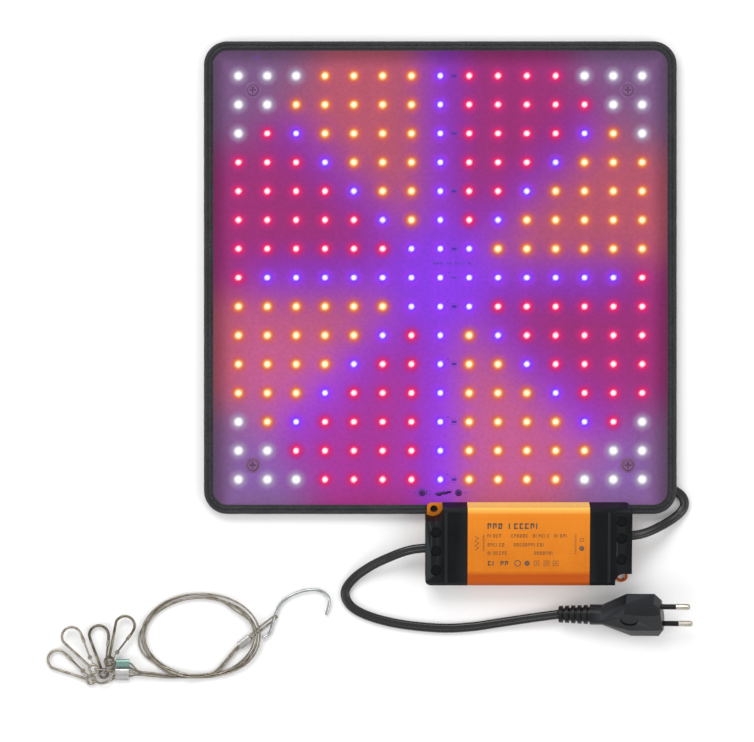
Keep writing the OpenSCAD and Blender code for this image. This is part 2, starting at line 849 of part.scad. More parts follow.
hook_gate(2);  // hook_gate_3
hook_gate(3);  // hook_gate_4
gate_pin(0);  // gate_pin_1
gate_pin(1);  // gate_pin_2
gate_pin(2);  // gate_pin_3
gate_pin(3);  // gate_pin_4
s_hook();
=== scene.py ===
import math

import bpy
import numpy as np
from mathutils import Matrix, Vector


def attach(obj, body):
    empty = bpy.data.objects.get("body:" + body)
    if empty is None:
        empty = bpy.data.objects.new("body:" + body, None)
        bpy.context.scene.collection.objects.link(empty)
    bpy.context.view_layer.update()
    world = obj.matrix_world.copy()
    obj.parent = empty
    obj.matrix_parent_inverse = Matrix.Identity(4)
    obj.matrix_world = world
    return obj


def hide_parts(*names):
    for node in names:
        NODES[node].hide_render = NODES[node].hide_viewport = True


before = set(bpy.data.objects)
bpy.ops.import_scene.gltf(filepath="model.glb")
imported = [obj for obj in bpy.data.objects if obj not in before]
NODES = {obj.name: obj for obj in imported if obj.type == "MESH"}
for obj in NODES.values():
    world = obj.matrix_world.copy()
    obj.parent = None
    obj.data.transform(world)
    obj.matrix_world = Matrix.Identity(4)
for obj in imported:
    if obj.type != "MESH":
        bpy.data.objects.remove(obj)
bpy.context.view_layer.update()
MM = 0.001


# ---- small geometry helpers; lengths in millimetres until the mesh is made
def unit(v):
    v = np.asarray(v, float)
    return v / np.linalg.norm(v)


def smooth(points, n):
    """The CAD's own curve through points, n steps between neighbours."""
    p = np.array(points, float)
    out = []
    for i in range(len(p) - 1):
        a, b, c, d = p[max(i - 1, 0)], p[i], p[i + 1], p[min(i + 2, len(p) - 1)]
        for k in range(n):
            t = k / n
            out.append(0.5 * (2 * b + (c - a) * t + (2 * a - 5 * b + 4 * c - d) * t * t
                              + (3 * b - a - 3 * c + d) * t ** 3))
    out.append(p[-1])
    return np.array(out)


def rope_curve(points, n):
    """A curve through points that keeps its shape where their spacing changes (centripetal Catmull-Rom)."""
    p = np.array(points, float)
    p = np.concatenate([[2 * p[0] - p[1]], p, [2 * p[-1] - p[-2]]])
    out = []
    for i in range(1, len(p) - 2):
        a, b, c, d = p[i - 1:i + 3]
        t1 = np.linalg.norm(b - a) ** 0.5
        t2 = t1 + np.linalg.norm(c - b) ** 0.5
        t3 = t2 + np.linalg.norm(d - c) ** 0.5
        for k in range(n):
            t = t1 + (t2 - t1) * k / n
            ab = (a * (t1 - t) + b * t) / t1
            bc = (b * (t2 - t) + c * (t - t1)) / (t2 - t1)
            cd = (c * (t3 - t) + d * (t - t2)) / (t3 - t2)
            abc = (ab * (t2 - t) + bc * t) / t2
            bcd = (bc * (t3 - t) + cd * (t - t1)) / (t3 - t1)
            out.append((abc * (t2 - t) + bcd * (t - t1)) / (t2 - t1))
    out.append(p[-2])
    return np.array(out)


def spaced(line, step):
    """The same line with its points step apart."""
    line = np.asarray(line, float)
    run = np.concatenate([[0], np.cumsum(np.linalg.norm(np.diff(line, axis=0), axis=1))])
    at = np.linspace(0, run[-1], max(3, int(round(run[-1] / step)) + 1))
    return np.stack([np.interp(at, run, line[:, k]) for k in range(3)], axis=1)


def eased(x):
    x = np.clip(x, 0, 1)
    return x * x * (3 - 2 * x)


def mesh_of(name, verts, faces, body, materials=(), colours=None, flat=False):
    me = bpy.data.meshes.new(name)
    points = [tuple(v) for v in np.asarray(verts, float) * MM]
    me.from_pydata(points, [], [tuple(int(k) for k in f) for f in faces])
    me.validate()
    if not flat:
        me.shade_smooth()
    if colours is not None:
        layer = me.color_attributes.new("glow", "FLOAT_COLOR", "POINT")
        layer.data.foreach_set("color", np.asarray(colours, np.float32).ravel())
    for m in materials:
        me.materials.append(m)
    ob = bpy.data.objects.new(name, me)
    bpy.context.scene.collection.objects.link(ob)
    if body:
        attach(ob, body)
    return ob


def frames_along(line, side, upright=False, closed=False):
    n = len(line)
    if closed:
        t = np.roll(line, -1, 0) - np.roll(line, 1, 0)
    else:
        t = np.gradient(line, axis=0)
    t /= np.linalg.norm(t, axis=1)[:, None]
    s = np.zeros((n, 3))
    if upright:
        s = np.cross([0, 0, 1], t)
        s /= np.linalg.norm(s, axis=1)[:, None]
    else:
        now = unit(side)
        for i in range(n):
            now = unit(now - t[i] * (now @ t[i]))
            s[i] = now
    return t, s, np.cross(t, s)


def sweep(line, profile, side=(0, 0, 1), upright=False, closed=False, ends=True):
    """Verts and faces of profile carried along line. profile is (k, 2), or one (k, 2) for each point."""
    line = np.asarray(line, float)
    n = len(line)
    _, s, u = frames_along(line, side, upright, closed)
    prof = np.asarray(profile, float)
    if prof.ndim == 2:
        prof = np.repeat(prof[None], n, 0)
    k = prof.shape[1]
    verts = (line[:, None] + s[:, None] * prof[:, :, :1] + u[:, None] * prof[:, :, 1:]).reshape(-1, 3)
    faces = []
    for i in range(n if closed else n - 1):
        a, b = i * k, ((i + 1) % n) * k
        for j in range(k):
            m = (j + 1) % k
            faces.append((a + j, b + j, b + m, a + m))
    if ends and not closed:
        faces.append(tuple(range(k)))
        faces.append(tuple((n - 1) * k + j for j in reversed(range(k))))
    return verts, faces


def circle(r, k=14):
    a = np.arange(k) * 2 * math.pi / k
    return np.stack([r * np.cos(a), r * np.sin(a)], axis=1)


def round_ends(line, r, k=14, steps=4):
    """A wire along line with domed ends: (line, profiles)."""
    line = np.asarray(line, float)
    head, tail = unit(line[0] - line[1]), unit(line[-1] - line[-2])
    ang = [math.pi / 2 * (i + 1) / (steps + 0.3) for i in range(steps)]
    pre = [line[0] + head * r * math.sin(a) for a in reversed(ang)]
    post = [line[-1] + tail * r * math.sin(a) for a in ang]
    radii = [r * math.cos(a) for a in reversed(ang)] + [r] * len(line) + [r * math.cos(a) for a in ang]
    whole = np.array(pre + list(line) + post)
    return whole, np.array([circle(q, k) for q in radii])


def joined(parts):
    """Several (verts, faces) as one."""
    verts, faces, base = [], [], 0
    for v, f in parts:
        verts.append(np.asarray(v, float))
        faces += [tuple(q + base for q in face) for face in f]
        base += len(v)
    return np.concatenate(verts), faces


def torus(centre, big, small, k=14, n=40):
    a = np.arange(n) * 2 * math.pi / n
    ring = np.stack([centre[0] + big * np.cos(a), centre[1] + big * np.sin(a),
                     np.full(n, float(centre[2]))], axis=1)
    return sweep(ring, circle(small, k), side=(0, 0, 1), closed=True)


# ---- materials
def linear(code):
    c = [int(code[i:i + 2], 16) / 255 for i in (1, 3, 5)]
    return tuple(x / 12.92 if x <= 0.04045 else ((x + 0.055) / 1.055) ** 2.4 for x in c)


def to_linear(c):
    c = np.clip(np.asarray(c, float), 0, 1)
    return np.where(c <= 0.04045, c / 12.92, ((c + 0.055) / 1.055) ** 2.4)


def add(nt, kind, **values):
    """A new node, with values set on its inputs or on the node itself."""
    n = nt.nodes.new(kind)
    for key, value in values.items():
        if key in n.inputs:
            n.inputs[key].default_value = value
        else:
            setattr(n, key, value)
    return n


def noise(nt, coord, scale, detail=3.0, rough=0.55, stretch=None):
    source = coord
    if stretch is not None:
        mp = add(nt, "ShaderNodeMapping")
        mp.inputs["Scale"].default_value = stretch
        nt.links.new(coord, mp.inputs["Vector"])
        source = mp.outputs["Vector"]
    n = add(nt, "ShaderNodeTexNoise", Scale=scale, Detail=detail, Roughness=rough)
    nt.links.new(source, n.inputs["Vector"])
    return n.outputs["Fac"]


def ranged(nt, value, lo, hi, to_lo, to_hi):
    """value mapped from lo..hi to to_lo..to_hi, and held there outside."""
    n = add(nt, "ShaderNodeMapRange")
    n.inputs["From Min"].default_value = lo
    n.inputs["From Max"].default_value = hi
    n.inputs["To Min"].default_value = to_lo
    n.inputs["To Max"].default_value = to_hi
    nt.links.new(value, n.inputs["Value"])
    return n.outputs["Result"]


def mixed(nt, fac, a, b, blend="MIX"):
    n = add(nt, "ShaderNodeMix", data_type="RGBA", blend_type=blend)
    for socket, value in ((n.inputs[0], fac), (n.inputs[6], a), (n.inputs[7], b)):
        if isinstance(value, bpy.types.NodeSocket):
            nt.links.new(value, socket)
        elif isinstance(value, (int, float)):
            socket.default_value = value
        else:
            socket.default_value = (*value[:3], 1)
    return n.outputs[2]


def product(nt, a, b):
    n = add(nt, "ShaderNodeMath", operation="MULTIPLY")
    nt.links.new(a, n.inputs[0])
    nt.links.new(b, n.inputs[1])
    return n.outputs[0]


def position(nt):
    """The x, y and z sockets of a point in the object's own frame, in metres."""
    xyz = add(nt, "ShaderNodeSeparateXYZ")
    nt.links.new(add(nt, "ShaderNodeTexCoord").outputs["Object"], xyz.inputs[0])
    return xyz.outputs


def greyed(nt, value):
    grey = add(nt, "ShaderNodeCombineColor")
    for socket in list(grey.inputs)[:3]:
        nt.links.new(value, socket)
    return grey.outputs[0]


def material(name, base, dark, rough=(0.4, 0.6), metallic=0.0, patch=90, grain=1500, bump=0.1, depth=0.00005,
             stretch=None, edge_wear_and_highlight=None, specular=0.5, speck=0.5):
    """Two tones in soft patches, a fine grain in the bump and the roughness, and paler edges, partly wear and
    partly painted highlight.
    """
    m = bpy.data.materials.new(name)
    m.use_nodes = True
    nt = m.node_tree
    bsdf = nt.nodes["Principled BSDF"]
    coord = add(nt, "ShaderNodeTexCoord").outputs["Object"]
    tone = ranged(nt, noise(nt, coord, patch, 4), 0.32, 0.68, 0, 1)
    fine = noise(nt, coord, grain, 3, stretch=stretch)
    colour = mixed(nt, tone, linear(base), linear(dark))
    shade = ranged(nt, fine, 0.3, 0.7, 1 - 0.3 * speck, 1 + 0.3 * speck)
    colour = mixed(nt, 1.0, colour, greyed(nt, shade), "MULTIPLY")
    if edge_wear_and_highlight is not None:
        # paler sharp edges: partly wear, partly painted highlight
        geo = add(nt, "ShaderNodeNewGeometry")
        edge = ranged(nt, geo.outputs["Pointiness"], 0.51, 0.58, 0, 0.75)
        colour = mixed(nt, edge, colour, linear(edge_wear_and_highlight))
    nt.links.new(colour, bsdf.inputs["Base Color"])
    nt.links.new(ranged(nt, noise(nt, coord, grain * 0.3, 3, stretch=stretch), 0.3, 0.7, *rough),
                 bsdf.inputs["Roughness"])
    b = add(nt, "ShaderNodeBump", Strength=bump, Distance=depth)
    nt.links.new(fine, b.inputs["Height"])
    nt.links.new(b.outputs["Normal"], bsdf.inputs["Normal"])
    bsdf.inputs["Metallic"].default_value = metallic
    bsdf.inputs["Specular IOR Level"].default_value = specular
    return m


M = {
    "trim": material("trim_rubber", "#28282b", "#1d1d1f", (0.42, 0.62), patch=60, grain=620, bump=0.8,
                     depth=0.00025, edge_wear_and_highlight="#4b4d50", specular=0.2, speck=1.7),
    "plate": material("plate_aluminium", "#b9bbbf", "#a4a6ab", (0.28, 0.45), 1.0, patch=25, grain=900, bump=0.12,
                      stretch=(0.06, 1, 1)),
    "lead": material("lead_sheath", "#101114", "#0b0c0e", (0.2, 0.32), patch=80, grain=1300, bump=0.12,
                     specular=0.55),
    "plug": material("plug_moulding", "#141518", "#0e0f11", (0.3, 0.42), patch=70, grain=2200, bump=0.2,
                     depth=0.00006, edge_wear_and_highlight="#33353a", specular=0.2),
    "sleeve": material("pin_sleeve", "#191a1c", "#111213", (0.3, 0.4), patch=200, grain=2500, bump=0.08,
                       specular=0.2),
    "pin": material("pin_nickel", "#c9c3b6", "#a59f92", (0.2, 0.36), 1.0, patch=260, grain=2600, bump=0.1,
                    stretch=(1, 0.2, 1), edge_wear_and_highlight="#e6e1d6"),
    "cap": material("cap_plastic", "#111214", "#0c0d0e", (0.4, 0.55), patch=55, grain=1700, bump=0.3,
                    depth=0.00008, edge_wear_and_highlight="#34373a", specular=0.1),
    "box": material("entry_box_plastic", "#1d1e20", "#141517", (0.45, 0.6), patch=70, grain=1900, bump=0.3,
                    depth=0.00008, edge_wear_and_highlight="#34373a", specular=0.15),
    "print": material("print_ink", "#5f4a3c", "#6f5743", (0.5, 0.65), patch=500, grain=2600, bump=0.05,
                      specular=0.2),
    "print_small": material("print_ink_small", "#82562f", "#925f2c", (0.5, 0.65), patch=500, grain=2600, bump=0.05,
                            specular=0.2),
    "nickel": material("nickel_plate", "#c3c3c6", "#a0a0a4", (0.24, 0.4), 1.0, patch=180, grain=1500, bump=0.1,
                       edge_wear_and_highlight="#e2e2e4"),
    "steel": material("warm_stainless", "#b7afa2", "#7d766a", (0.2, 0.36), 1.0, patch=150, grain=1800, bump=0.14,
                      stretch=(1, 1, 0.3), edge_wear_and_highlight="#d9d2c6"),
    # painted shade: the same stainless, darker, for hooks 3 and 4
    "steel_painted_shade": material("stainless_painted_shade", "#8a8170", "#4b4435", (0.18, 0.34), 1.0, patch=170, grain=1800,
                           bump=0.14, stretch=(1, 1, 0.3), edge_wear_and_highlight="#cfc8b4"),
    "gate": material("gate_steel", "#8f877a", "#5e574c", (0.26, 0.42), 1.0, patch=170, grain=1800, bump=0.14,
                     edge_wear_and_highlight="#bdb5a8"),
    "bright": material("bright_wire", "#c9cccc", "#8e9192", (0.14, 0.28), 1.0, patch=120, grain=1500, bump=0.08),
    "rope": material("rope_strand", "#aaa295", "#7b7468", (0.26, 0.42), 1.0, patch=260, grain=2400, bump=0.2,
                     edge_wear_and_highlight="#cfc8bc"),
    "ferrule": material("ferrule_aluminium", "#b7b5b0", "#969490", (0.26, 0.42), 1.0, patch=230, grain=1500,
                        bump=0.25, depth=0.0001, edge_wear_and_highlight="#e8e9e9"),
    "pcb": material("driver_pcb", "#2f7a3f", "#25632f", (0.3, 0.45), patch=120, grain=1500, bump=0.1),
    "ferrite": material("ferrite", "#2b2b2d", "#1d1d1f", (0.55, 0.7), patch=120, grain=1700, bump=0.3),
    "tape": material("winding_tape", "#d8b53a", "#bf9a28", (0.25, 0.4), patch=90, grain=900, bump=0.2,
                     stretch=(1, 0.1, 1)),
    "can": material("capacitor_sleeve", "#1d2440", "#141a30", (0.22, 0.34), patch=90, grain=1400, bump=0.06),
    "copper": material("enamelled_copper", "#b86a34", "#8f4d22", (0.2, 0.35), 0.8, patch=200, grain=1400,
                       bump=0.3, stretch=(1, 1, 0.1)),
    "sink": material("heat_sink_metal", "#b3b5b8", "#999b9f", (0.35, 0.5), 1.0, patch=90, grain=1300, bump=0.1),
    "terminal": material("terminal_plastic", "#2a7a4a", "#1f6038", (0.35, 0.5), patch=120, grain=1600, bump=0.1),
    # wire, solder, chip and blob: their violet is painted light and painted reflection from the lit board on the
    # parts that sit on it
    "wire": material("wire_insulation", "#3a1038", "#290a2a", (0.3, 0.45), patch=260, grain=1600, bump=0.1,
                     specular=0.2),
    "solder": material("solder", "#5b2c84", "#431d68", (0.3, 0.45), 0.3, patch=400, grain=1600, bump=0.3),
    "chip": material("resistor_body", "#4a2a9c", "#3b1f86", (0.35, 0.5), patch=400, grain=2200, bump=0.1,
                     specular=0.2),
    "blob": material("solder_blob", "#2d1058", "#1f0a40", (0.3, 0.45), patch=400, grain=1800, bump=0.3,
                     specular=0.3),
}


def orange_plastic_painted_light(name):
    """Orange mouldings with painted light: a painted highlight on the side face towards the panel, paler towards
    the panel, and painted shade, redder, along the foot.
    """
    m = material(name, "#d07614", "#c56b0e", (0.36, 0.48), patch=45, grain=1900, bump=0.22, depth=0.00006,
                 specular=0.2)
    nt = m.node_tree
    bsdf = nt.nodes["Principled BSDF"]
    now = bsdf.inputs["Base Color"].links[0].from_socket
    _, y, z = position(nt)
    # painted highlight: the side face towards the panel, paler where it faces the light
    painted_highlight_side = product(nt, ranged(nt, y, -0.1548, -0.1488, 0, 1.0), ranged(nt, z, 0.0119, 0.0124, 0, 1))
    # painted light: paler towards the panel side
    now = mixed(nt, ranged(nt, y, -0.189, -0.154, 0, 0.55), now, linear("#e88a22"))
    now = mixed(nt, painted_highlight_side, now, linear("#ffd16a"))
    # painted shade: redder along the foot
    now = mixed(nt, ranged(nt, y, -0.1915, -0.1945, 0, 0.8), now, linear("#aa4000"))
    nt.links.new(now, bsdf.inputs["Base Color"])
    return m


M["orange"] = orange_plastic_painted_light("driver_orange")
M["label"] = orange_plastic_painted_light("label_film")


def green_upper_ferrule(m):
    """The uppermost of the ferrules at the hooks has a green finish."""
    nt = m.node_tree
    bsdf = nt.nodes["Principled BSDF"]
    x, y, z = position(nt)
    above = product(nt, ranged(nt, z, 0.0034, 0.0036, 0, 0.9), ranged(nt, y, -0.2562, -0.2556, 0, 1))
    place = product(nt, above, ranged(nt, x, -0.18, -0.181, 0, 1))
    now = bsdf.inputs["Base Color"].links[0].from_socket
    nt.links.new(mixed(nt, place, now, linear("#7aa398")), bsdf.inputs["Base Color"])


green_upper_ferrule(M["ferrule"])


# ---- camera: straight down, at the distance of a long lens
CENTRE = (-41.5 * MM, -61.2 * MM)
WIDTH = 495.4 * MM
DISTANCE = 3.2
SENSOR = 36
cam = bpy.data.cameras.new("camera")
cam.sensor_fit = "HORIZONTAL"
cam.sensor_width = SENSOR
cam.lens = SENSOR * DISTANCE / WIDTH
cam.clip_end = 50
eye = bpy.data.objects.new("camera", cam)
eye.location = (CENTRE[0], CENTRE[1], DISTANCE)
bpy.context.scene.collection.objects.link(eye)
bpy.context.scene.camera = eye

# ---- the driver's own frame, as the CAD places it: it leans on the panel's rim, in millimetres
DRIVER = (-10.0, -197.7)
PANEL = 310.0
RIM_TOP = 8.3
DRIVER_L, DRIVER_H = 134.8, 21.0
RIM_GAP = 0.1
FOOT_TO_RIM = -PANEL / 2 - DRIVER[1]
LEAN = math.atan2(RIM_TOP, FOOT_TO_RIM) + math.asin(RIM_GAP / math.hypot(FOOT_TO_RIM, RIM_TOP))


def at_driver(x, y, z):
    """A point of the driver's own frame in the scene, in millimetres."""
    return (DRIVER[0] + x, DRIVER[1] + y * math.cos(LEAN) - z * math.sin(LEAN),
            y * math.sin(LEAN) + z * math.cos(LEAN))


# ---- leads: a flat two-core sheath, with a groove between its cores
LEAD_W, LEAD_T = 6.0, 3.8
floor_z = LEAD_T / 2
mains_route = [
    at_driver(12, 23, 10), at_driver(0, 23, 10), (-21, -178.6, 13.6), (-33, -183, 11), (-46, -189.4, 7),
    (-57, -197.6, 3.4), (-62.5, -206.5, floor_z), (-58.5, -215.6, floor_z), (-46, -222.4, floor_z),
    (-26, -227.4, floor_z), (0, -230, floor_z), (20, -229.2, floor_z), (38, -226.6, 2.6), (57, -223.6, 4.8),
    (78, -220.6, 7.3),
]
panel_route = [
    at_driver(DRIVER_L - 12, 31.5, 10), at_driver(DRIVER_L, 31.5, 10), (133, -167.4, 14.3), (141, -164.4, 11),
    (150, -159.8, 5.6), (157.4, -154.3, 2.6), (160.4, -148.8, floor_z), (158.6, -143.2, floor_z),
    (152, -139, floor_z), (140, -137.8, floor_z), (110, -138.4, floor_z), (80, -139.6, floor_z),
    (50, -141, floor_z), (30, -141, 2.4), (14.5, -141, 2.9),
]


def flat_lead(k=28):
    a = np.arange(k) * 2 * math.pi / k
    u = np.sign(np.cos(a)) * np.abs(np.cos(a)) ** 0.8 * LEAD_W / 2
    v = np.sign(np.sin(a)) * np.abs(np.sin(a)) ** 0.8 * LEAD_T / 2
    groove = 0.75 * np.exp(-((u / 0.6) ** 2))
    return np.stack([u, np.sign(v) * np.maximum(np.abs(v) - groove, 0.2)], axis=1)


def lead(name, route, node, exit_point, far_end, pieces):
    """A free lead along route, in place of its CAD node."""
    line = spaced(smooth(route, 12), 1.3)
    v, f = sweep(line, flat_lead(), upright=True)
    ob = mesh_of(name, v, f, "lamp", [M["lead"]])
    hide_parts(node)
    return ob


lead("mains_lead", mains_route, "mains_cord", at_driver(0, 23, 10), "plug",
     [NODES[n] for n in ("plug_body", "plug_strain_relief", "plug_pins", "pin_sleeves")])
lead("panel_lead", panel_route, "panel_cord", at_driver(DRIVER_L, 31.5, 10), "object", [])

# ---- hanging kit: four ropes from the top ferrule, once round the coil, to their hooks
ROPE_D = 1.2
coil_mid, coil_a, coil_b = (-157.2, -235.3), 37.0, 26.5
rise = [(-131.7, -241.6, 1.9), (-136, -246, 1.9), (-141.5, -252.6, 1.9), (-149, -259.6, 1.8)]
bundle = [(-178, -261.7, 1.7), (-190, -260.4, 1.7), (-198, -259.4, 2.2)]
ferrules = [(-208.9, -261.7, 1.9), (-208.7, -258.7, 5.3), (-208.9, -255.9, 1.9), (-208.2, -252.9, 5.3)]
hook_eye = [(-229.4, -263.9, 2.2), (-227.6, -256.6, 5.5), (-221, -259.9, 2.2), (-217.2, -251.6, 4.65)]
hook_heading = [149, 124, 97, 66]
loop_sides = [[(-217.5, -265), (-223, -266.3)], [(-219, -257.3)], [], []]
FERRULE_L = 8.8
PASS_Z, EYE_R, LOWEST = 1.6, 2.7, 0.62


def end_loop(f, e, sides):
    """From the ferrule's end f under the eye at e, round the eye's wire, and back over the top."""
    last = sides[-1] if sides else f[:2]
    run = np.array([e[0] - last[0], e[1] - last[1], 0])
    a, lead = unit(run), min(4.8, 0.8 * np.linalg.norm(run))
    e = np.array(e, float)
    low, high = max(e[2] - PASS_Z, ROPE_D / 2), e[2] + PASS_Z
    pts = [(f[0], f[1] - 1.1, f[2])] + [(p[0], p[1], low) for p in sides]
    pts.append(np.array([e[0], e[1], low]) - a * lead)
    for deg in range(-90, 91, 30):
        t = math.radians(deg)
        pts.append(e + a * (PASS_Z * math.cos(t) - EYE_R) + np.array([0, 0, PASS_Z * math.sin(t)]))
    pts.append(np.array([e[0], e[1], high]) - a * lead)
    pts += [(p[0], p[1], high) for p in reversed(sides)] + [(f[0], f[1] + 1.1, f[2])]
    return pts


def coil_z(a):
    """The bundle's height at angle a: it climbs over the rise to the top ferrule at the right."""
    return 1.75 + 2.7 * ((1 + math.cos(a)) / 2) ** 6


def rope_route(i):
    """One rope's centreline. Its place in the bundle turns slowly, and two ropes stray from the ring."""
    lay = [(-0.62, 0.62), (-0.62, -0.62), (0.62, 0.62), (0.62, -0.62)][i]
    pts = [(-124.6 + 0.2 * i, -236.4 + 0.35 * (i - 1.5), 1.9)]
    for p in rise:
        pts.append((p[0] + lay[0] * 0.8, p[1] - lay[0] * 0.7, max(p[2] + lay[1], LOWEST)))
    steps = 64
    for k in range(2, steps + 1):
        q = k / steps
        a = math.radians(-90 - 360 * q)
        turn = math.radians(180 * q)
        u = lay[0] * math.cos(turn) - lay[1] * math.sin(turn)
        w = lay[0] * math.sin(turn) + lay[1] * math.cos(turn)
        deg = (math.degrees(a) + 720) % 360
        u *= 1 + 1.2 * eased(q / 0.12) * (1 - eased((q - 0.84) / 0.12))
        if i == 0:
            stray = math.exp(-(((deg - 192) / 34) ** 2))
            u += 6.2 * stray
            w -= 0.55 * stray
        if i == 3:
            stray = math.exp(-(((deg - 48) / 26) ** 2))
            u -= 4.4 * stray
        lift = 2.3 * (1 - eased(q / 0.14)) - 0.35 * eased((q - 0.86) / 0.12)
        r = unit((coil_b * math.cos(a), coil_a * math.sin(a), 0))
        z = coil_z(a) + w + lift
        pts.append((coil_mid[0] + coil_a * math.cos(a) + r[0] * u,
                    coil_mid[1] + coil_b * math.sin(a) + r[1] * u, max(z, LOWEST)))
    for p in ((-164, -261.8, 1.7), (-171, -261.75, 1.7)):
        pts.append((p[0], p[1] + lay[0], p[2] - lay[1]))
    for k, p in enumerate(bundle):
        spread = 0.75 * (k + 1) / 3
        pts.append((p[0], p[1] + (1 - spread) * lay[0] + spread * (1.6 - 1.1 * i) * -1.0,
                    max(p[2] - lay[1] * (1 - spread) + spread * (ferrules[i][2] - 2.0), LOWEST)))
    f = np.array(ferrules[i])
    pts.append(tuple(f + [FERRULE_L / 2 + 0.3, 0, 0]))
    pts.append(tuple(f + [2.0, -0.5, 0]))
    pts.append(tuple(f + [-2.0, -1.05, 0]))
    pts += end_loop(tuple(f - [FERRULE_L / 2, 0, 0]), hook_eye[i], loop_sides[i])
    pts.append(tuple(f + [-2.0, 1.05, 0]))
    return pts


def strands(line, r, lobes=6, k=18, pitch=7.0):
    """A rope's section turns as it goes: six wires laid round a core."""
    run = np.concatenate([[0], np.cumsum(np.linalg.norm(np.diff(line, axis=0), axis=1))])
    a = np.arange(k) * 2 * math.pi / k
    out = []
    for s in run:
        turn = 2 * math.pi * s / pitch
        rr = r * (0.86 + 0.14 * np.abs(np.cos(lobes / 2 * (a - turn))))
        out.append(np.stack([rr * np.cos(a), rr * np.sin(a)], axis=1))
    return np.array(out)


def rope(name, route, fine=5):
    line = spaced(rope_curve(route, fine), 0.6)
    line[:, 2] = np.maximum(line[:, 2], ROPE_D / 2)
    v, f = sweep(line, strands(line, ROPE_D / 2), side=(0, 0, 1))
    ob = mesh_of(name, v, f, "kit", [M["rope"]])
    return ob


for i in range(4):
    ob = rope(f"rope_{i + 1}", rope_route(i))
    if i == 0:
        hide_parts("rope_coil", "rope_ends")

top_loop = [
    (-127, -238.8, 1.4), (-125.2, -237.3, 1.3), (-119.4, -233, 0.65), (-113, -227.6, LOWEST),
    (-109, -224.6, LOWEST), (-107, -222.6, 2.2), (-108.6, -221.9, 3.95), (-112.4, -224.4, 3.4),
    (-119.8, -230.2, 1.95), (-125.6, -235, 2.3), (-127, -236.4, 2.2),
]
rope("top_rope_loop", top_loop, fine=10)

# ---- snap hooks: bent wire with an eye at the rope's end, and a sprung gate that closes the mouth
HOOK_R = 0.9
HOOK_L, NOSE_R = 25.5, 6.3
GATE_HINGE, GATE_LEN, GATE_DEG = (7.5, -2.4), 14.4, -13.6


def placed(i, points):
    """Points of snap hook i's own frame, whose origin is its eye, in the scene."""
    a = math.radians(hook_heading[i])
    p = np.asarray(points, float)
    x = hook_eye[i][0] + p[:, 0] * math.cos(a) - p[:, 1] * math.sin(a)
    y = hook_eye[i][1] + p[:, 0] * math.sin(a) + p[:, 1] * math.cos(a)
    return np.stack([x, y, hook_eye[i][2] + p[:, 2]], axis=1)


def hook(i):
    """Snap hook i's body, from the tip by the gate round the nose and back to the eye."""
    g = math.radians(GATE_DEG)
    tip = (GATE_HINGE[0] + (GATE_LEN + 0.5) * math.cos(g), GATE_HINGE[1] + (GATE_LEN + 0.5) * math.sin(g))
    route = [(*tip, 0)]
    route += [(HOOK_L + NOSE_R * math.cos(math.radians(b)), NOSE_R * math.sin(math.radians(b)), 0)
              for b in range(-90, 91, 20)]
    route += [(18, 4.6, 0), (11, 2.9, 0), (6, 1.8, 0), (2.4, 1, 0)]
    line, prof = round_ends(spaced(smooth(route, 8), 0.55), HOOK_R)
    body = sweep(line, prof)
    eye_ring = torus((0, 0, 0), EYE_R, HOOK_R)
    # the flat tab that carries the gate's pin
    tab_line = np.array([(EYE_R - 0.4 + s, -1.93, -0.62) for s in np.linspace(0, 5.0, 8)])
    tab = sweep(tab_line, np.array([(0.27, 0.23), (0.2, 0.3), (-0.2, 0.3), (-0.27, 0.23), (-0.27, -0.23),
                                    (-0.2, -0.3), (0.2, -0.3), (0.27, -0.23)]), side=(0, 0, 1))
    a = np.arange(28) * 2 * math.pi / 28
    rings = [(0.55, -0.9), (1.4, -0.9), (1.5, -0.8), (1.5, -0.45), (1.4, -0.35), (0.55, -0.35)]
    disc_v = np.concatenate([np.stack([GATE_HINGE[0] + r * np.cos(a), GATE_HINGE[1] + r * np.sin(a),
                                       np.full(28, z)], axis=1) for r, z in rings])
    disc_f = [(p * 28 + j, ((p + 1) % 6) * 28 + j, ((p + 1) % 6) * 28 + (j + 1) % 28, p * 28 + (j + 1) % 28)
              for p in range(6) for j in range(28)]
    v, f = joined([body, eye_ring, tab, (disc_v, disc_f)])
    # hooks 3 and 4 take the darker steel of painted shade
    steel = M["steel" if i < 2 else "steel_painted_shade"]
    ob = mesh_of(f"snap_hook_{i + 1}", placed(i, v), f, f"hook_{i + 1}", [steel])
    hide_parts(f"hook_body_{i + 1}")


for i in range(4):
    hook(i)

s_points = [
    (-116, -236), (-113.2, -234.6), (-111.3, -231.5), (-110.2, -227.5), (-109.2, -223.5), (-107.4, -218.6),
    (-104.8, -213.9), (-99.5, -209.4), (-92.3, -206.3), (-86.5, -205), (-81, -204.9), (-75.8, -206.9),
    (-72.9, -210.9), (-73.3, -215.6), (-74.7, -220.8),
]
line, prof = round_ends(spaced(smooth([(x, y, 2.3) for x, y in s_points], 8), 0.6), 1.0, 16, 3)
v, f = sweep(line, prof)
ob = mesh_of("s_shaped_hook", v, f, "s_hook", [M["bright"]])
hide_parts("s_hook")

# ---- what the lit diodes give the board, as colours worked out for any point on it
PITCH, MID, BOARD_TOP = 18.9, 7, 7.5
WHITE, ORANGE, RED, BLUE = range(4)


def led_kind(c, r):
    """White in the corners, blue on the cross and the diagonals, orange and red in the eighths between."""
    if abs(c) + abs(r) >= 12:
        return WHITE
    if c == 0 or abs(c) == abs(r) or (r == 0 and abs(c) < MID):
        return BLUE
    if r == 0:
        return RED
    return ORANGE if (c * r < 0) == (abs(r) > abs(c)) else RED


def srgb(*codes):
    return np.array([[int(c[i:i + 2], 16) / 255 for i in (1, 3, 5)] for c in codes])


